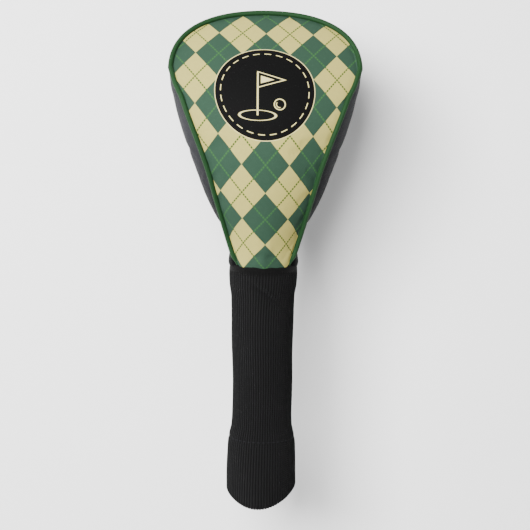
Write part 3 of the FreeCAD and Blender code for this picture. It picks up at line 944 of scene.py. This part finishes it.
def knit_sleeve(name, top, bottom):
    """A length of the knit tube, closed at both ends by the thickness of the knit."""
    heights = np.linspace(top, bottom, round((top - bottom) / KNIT_STEP) + 1)
    inner_heights = heights[::-1][::2]
    outer = knit_surface(KNIT_ANGLE[None, :], heights[:, None])
    inner = knit_surface(KNIT_ANGLE[None, :], inner_heights[:, None], outside=False)
    return knit_tube(name, np.concatenate([outer, inner], 0), np.concatenate([heights, inner_heights]))


HEM_Z = -162.5
HEM_FRONT = 6.6  # how far the hem hangs below that in front
HEM_SIDES = 3.8  # how far it rides up at the sides and behind
HEM_TILT = 1.6  # and how much lower its left side hangs than that
HEM_R = 24.0  # radius to which these distances apply
HEM_TURN = 2.4  # height of the bend in the hem's fold
CUFF_FOLD = 4.9  # thickness of the double cuff, with the elastic between its layers
CUFF_EDGE_Z = -114.0  # where the turned-in layer ends
SOCK_INSIDE_Z = -112.5  # and where the single layer's inner face starts


def hem_drop(x, y, z):
    """How far a point hangs lower than on a level cuff: the front sags and the sides ride up."""
    front = np.clip(-y / HEM_R, 0, 1) ** 1.6
    return ((HEM_FRONT + HEM_SIDES) * front - HEM_SIDES - HEM_TILT * x / HEM_R) * ramp(-z, 122, 163)


def hang(rings):
    """Rings of a level cuff, let down as the hem hangs."""
    rings[..., 2] -= hem_drop(rings[..., 0], rings[..., 1], rings[..., 2])
    return rings


def knit_cuffed(name, top):
    """The knit's lower end: down the outside, round the hem, up the inside of the cuff, and up the sock."""
    heights = np.linspace(top, HEM_Z + HEM_TURN, round((top - HEM_Z) / KNIT_STEP))
    rings = [knit_surface(KNIT_ANGLE, z) for z in heights]
    lengths = list(heights)
    end_z, outer_end = heights[-1], rings[-1]
    inner_r = cad_mm("knit_cuff")[1][0] - CUFF_FOLD
    outer_r = np.linalg.norm(outer_end[:, :2], axis=1)
    out = unit(outer_end * [1, 1, 0])
    for turn in np.linspace(0, math.pi, 12)[1:-1]:
        radius = ((outer_r + inner_r) / 2 + (outer_r - inner_r) / 2 * math.cos(turn))[:, None]
        rings.append(out * radius + [0, 0, end_z - HEM_TURN * math.sin(turn)])
        lengths.append(end_z - HEM_TURN * turn)
    rib = INNER_RIB_DEPTH * (np.abs(np.cos(RIBS * KNIT_ANGLE / 2)) - 1)
    for z in np.linspace(end_z, CUFF_EDGE_Z, 24):
        rings.append(out * (inner_r - rib)[:, None] + [0, 0, z])
        lengths.append(-2 * HEM_Z + z)
    for z in np.linspace(SOCK_INSIDE_Z, top, 20):
        rings.append(knit_surface(KNIT_ANGLE, z, outside=False))
        lengths.append(z)
    return knit_tube(name, hang(np.array(rings)), np.array(lengths))


BAND_THICK = 0.6
BAND_RISE = 1.5  # how far the band sits above its place in the CAD, clear of the hem's bend


def elastic_band(name, node):
    """The band inside the cuff's fold, which hangs as the hem does."""
    low, high = cad_mm(node)
    outer, inner = high[0], high[0] - BAND_THICK
    section = [(inner, low[2]), (outer, low[2]), (outer, high[2]), (inner, high[2])]
    angle = TAU * np.arange(96) / 96
    rings = [circle(angle, radius, z + BAND_RISE) for radius, z in section]
    return tube_ring(name, hang(np.array(rings)), np.zeros((len(section) + 1, len(angle) + 1, 2)))


# ---- stitches
STITCH_R = 0.3
STITCH_CORNERS = 8
BACK_STITCHES = {"from_seam": 4.0, "pitch": 3.8, "length": 2.7, "sink": 0.15}
CUFF_STITCHES = {"count": 40, "length": 2.6, "sink": 0.35}


def stitch(start, end, out):
    """One stitch as a short bowed tube that dips into the cloth at both ends: rings of points."""
    share = np.linspace(0, 1, 7)
    run = unit(end - start)
    side = unit(np.cross(run, out))
    bow = np.sin(share * math.pi) ** 0.5
    centres = start + (end - start) * share[:, None] + out * ((bow - 0.75) * 1.1 * STITCH_R)[:, None]
    angle = TAU * np.arange(STITCH_CORNERS) / STITCH_CORNERS
    ring = side[None, :] * np.cos(angle)[:, None] + out[None, :] * np.sin(angle)[:, None]
    fat = STITCH_R * (0.55 + 0.45 * bow)
    return centres[:, None] + ring[None] * fat[:, None, None]


def stitch_row(name, rows):
    """One mesh of many stitches, each given as (start, end, outward direction)."""
    points = np.array([stitch(*row) for row in rows])
    count, rings, corners = points.shape[:3]
    quads, _ = grid_faces(rings, corners, wrap_columns=True)
    first = np.arange(corners)
    last = first[::-1] + (rings - 1) * corners
    faces = []
    for base in np.arange(count) * rings * corners:
        faces += (base + quads).tolist() + [(base + first).tolist(), (base + last).tolist()]
    return new_mesh(name, points.reshape(-1, 3), faces)


def back_seam_rows():
    """The stitches beside the back seam, on both sides of the compartment."""
    t = np.linspace(0.02, 0.985, 600)
    share = 1 - BACK_STITCHES["from_seam"] / gusset_width(t)
    normal = side_normals(t, share)
    path = side_point(t, share) - normal * BACK_STITCHES["sink"]
    run = run_along(path)
    length = BACK_STITCHES["length"]
    rows = []
    for at in np.arange(2, run[-1] - length, BACK_STITCHES["pitch"]):
        start, end = read_at(at, run, path), read_at(at + length, run, path)
        out = unit(read_at(at + length / 2, run, normal))
        rows.append((start, end, out))
        rows.append((start * MIRROR, end * MIRROR, out * MIRROR))
    return rows


def cuff_rows():
    """The stitches round the sock at the cuff's top."""
    radius = float(smooth(SOCK_RADIUS, CUFF_SEWN_Z)) - CUFF_STITCHES["sink"]
    half = CUFF_STITCHES["length"] / 2 / radius
    rows = []
    for middle in TAU * (np.arange(CUFF_STITCHES["count"]) + 0.5) / CUFF_STITCHES["count"]:
        start, end = (circle(a, radius, CUFF_SEWN_Z) for a in (middle - half, middle + half))
        rows.append((start, end, circle(middle, 1.0, 0.0)))
    return rows


# ---- build the pieces
print_cloth = printed_cloth()
leather = leatherette()
knit = knit_material()
foam_pores = foam()
pile = plush()
piping_green = {"colour": srgb(12, 44, 15), "tint": (0.7, 1, 0.75)}
piping_cloth = fabric("piping_cloth", **piping_green, roughness=0.65, sheen=0.03, thread=0.45)
cord_core = fabric("cord_core", srgb(210, 208, 200), thread=0.8)
woven_elastic = elastic()
black_thread = twisted_thread("black_thread", srgb(28, 28, 30))

BACK_LIFT = 2.0  # how much higher than the front's the back's lower edges are
FRONT_EDGE = {"drop": 0.4, "reach": 2.8, "pucker": 0.22}
BACK_EDGE = {"drop": 1.1, "reach": 2.0, "pucker": 0.3}
SIDE_EDGE = {"drop": 1.1, "reach": 2.4, "pucker": 0.3}
SIDE_COVER = ((0.8, 0.35), 0.0, 0.06)  # margins, foot and top gap of the side covers
# each layer's depths, then inset and lower edge on the faces, then margins, foot and top gap on the sides
LAYERS = {
    "padding": (PADDING, (4.2, 15.0), ((6.5, 6.5), 0.085, 1.0)),
    "lining": (LINING, (6.2, 12.5), ((8.0, 8.0), 0.07, 0.6)),
}


def dress(piece, body, material, nodes):
    """Give a piece its material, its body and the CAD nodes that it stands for."""
    finish_with(piece, material)
    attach(piece, body)
    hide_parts(*nodes)


crown = face_shell("crown_cover", FRONT, (0.0, COVER), 0.9, 0.0, FRONT_EDGE)
dress(crown, "head", print_cloth, ["crown_panel"])
back = face_shell("back_cover", BACK, (0.0, COVER), 0.35, BACK_LIFT, BACK_EDGE)
dress(back, "head", leather, ["back_panel"])
for layer, material, slot in (("padding", foam_pores, "foam"), ("lining", pile, "plush")):
    depths, (inset, lower), place = LAYERS[layer]
    for side, face, lift in (("crown", FRONT, 0.0), ("back", BACK, BACK_LIFT)):
        piece = face_shell(f"{side}_{layer}_piece", face, depths, inset, lower + lift, NO_DIVE, rings=24)
        dress(piece, "head", material, [f"{side}_{layer}"])
    for side in ("left", "right"):
        name = f"{side}_side_{layer}"
        piece = side_shell(f"{name}_piece", side == "right", depths, *place, NO_DIVE, rows=60, columns=20)
        dress(piece, "head", material, [name])
for side in ("left", "right"):
    piece = side_shell(f"{side}_side_cover", side == "right", (0.0, COVER), *SIDE_COVER, SIDE_EDGE)
    dress(piece, "head", leather, [f"{side}_side_panel"])

piping = piping_tube("piping", PIPING_R, PIPING_FOOT_Z - 3.5, 1.5)
dress(piping, "head", piping_cloth, ["piping_cover"])
core = piping_tube("piping_core", 0.55 * PIPING_R, PIPING_FOOT_Z, 0.8)
dress(core, "head", cord_core, ["piping_cord"])
back_stitches = stitch_row("back_seam_stitches", back_seam_rows())
dress(back_stitches, "head", black_thread, ["back_seam_thread"])

KNIT_CUTS = (9.0, -34.0, -75.0)  # heights at which the visible knit starts and is split
knit_upper = knit_sleeve("knit_sock_upper", KNIT_CUTS[0], KNIT_CUTS[1])
knit_middle = knit_sleeve("knit_sock_middle", KNIT_CUTS[1], KNIT_CUTS[2])
knit_lower = knit_cuffed("knit_sock_lower", KNIT_CUTS[2])
for piece in (knit_upper, knit_middle, knit_lower):
    finish_with(piece, knit)
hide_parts("knit_collar", "knit_upper_bend", "knit_ring")
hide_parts("knit_lower_bend")
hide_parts("knit_middle", "knit_stretch", "knit_cuff")
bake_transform(knit_upper)
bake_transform(knit_middle)
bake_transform(knit_lower)
cuff_stitches = stitch_row("cuff_stitches", cuff_rows())
dress(cuff_stitches, "cuff", black_thread, ["cuff_thread"])
dress(elastic_band("cuff_elastic_band", "cuff_elastic"), "cuff", woven_elastic, ["cuff_elastic"])
finish_with(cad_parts["neck_elastic"], woven_elastic)


# ---- stage, lights and camera
WALL_Y = 0.09  # just behind the sock where it swings back furthest
FLOOR_Z = -0.9
REACH = 4.0  # how far the wall and the floor go, metres


def plain(name, colour, one_sided=False):
    """Plain matt material. A one-sided one lets a camera behind it see through."""
    material = Material(name, 0.9, specular=0.1)
    material.colour(colour)
    if one_sided:
        tree = material.tree
        facing = tree.nodes.new("ShaderNodeNewGeometry").outputs["Backfacing"]
        clear = tree.nodes.new("ShaderNodeBsdfTransparent")
        mix = tree.nodes.new("ShaderNodeMixShader")
        tree.links.new(facing, mix.inputs[0])
        tree.links.new(material.shader.outputs[0], mix.inputs[1])
        tree.links.new(clear.outputs[0], mix.inputs[2])
        tree.links.new(mix.outputs[0], tree.nodes["Material Output"].inputs["Surface"])
    return material.data


def stage_plane(name, near, far, material):
    """A flat part of the studio, not of the object, from the (y, z) of its near and far edges."""
    corners = [(-REACH, *near), (REACH, *near), (REACH, *far), (-REACH, *far)]
    mesh = bpy.data.meshes.new(name)
    mesh.from_pydata(corners, [], [(0, 1, 2, 3)])
    plane = bpy.data.objects.new(name, mesh)
    bpy.context.scene.collection.objects.link(plane)
    finish_with(plane, material)


wall_paper = plain("backdrop_paper", srgb(236, 236, 236), one_sided=True)
floor_paper = plain("floor_paper", srgb(200, 200, 200))
stage_plane("backdrop", (WALL_Y, FLOOR_Z), (WALL_Y, REACH), wall_paper)
stage_plane("floor", (-REACH, FLOOR_Z), (REACH, FLOOR_Z), floor_paper)


def area_light(name, place, size, power):
    """A white rectangular softbox that faces the origin."""
    data = bpy.data.lights.new(name, "AREA")
    data.shape = "RECTANGLE"
    data.size, data.size_y = size
    data.energy = power
    light = bpy.data.objects.new(name, data)
    light.location = place
    light.rotation_euler = (-Vector(place)).to_track_quat("-Z", "Y").to_euler()
    bpy.context.scene.collection.objects.link(light)


area_light("key_softbox", (-0.57, -1.42, 0.62), (1.1, 0.8), 118)
area_light("left_softbox", (-1.5, -0.25, 0.3), (0.6, 1.2), 9)
world = bpy.data.worlds.new("studio")
world.use_nodes = True
background = world.node_tree.nodes["Background"]
background.inputs["Color"].default_value = (0.9, 0.9, 0.9, 1)
background.inputs["Strength"].default_value = 0.14
bpy.context.scene.world = world

DISTANCE = 1.1
ELEVATION = math.radians(8)
ROLL = math.radians(0.6)
AIM = Vector((0.0012, 0, 0.0))
VIEW_WIDTH = 367.82  # how much the picture takes in across the object, millimetres
SENSOR = 36
camera_data = bpy.data.cameras.new("camera")
camera_data.sensor_width = SENSOR
camera_data.lens = SENSOR * DISTANCE / (VIEW_WIDTH * MM)
camera = bpy.data.objects.new("camera", camera_data)
away = Vector((0, -math.cos(ELEVATION), math.sin(ELEVATION)))
camera.location = AIM + away * DISTANCE
camera.rotation_mode = "QUATERNION"
camera.rotation_quaternion = (-away).to_track_quat("-Z", "Y") @ Quaternion((0, 0, 1), ROLL)
bpy.context.scene.collection.objects.link(camera)
bpy.context.scene.camera = camera
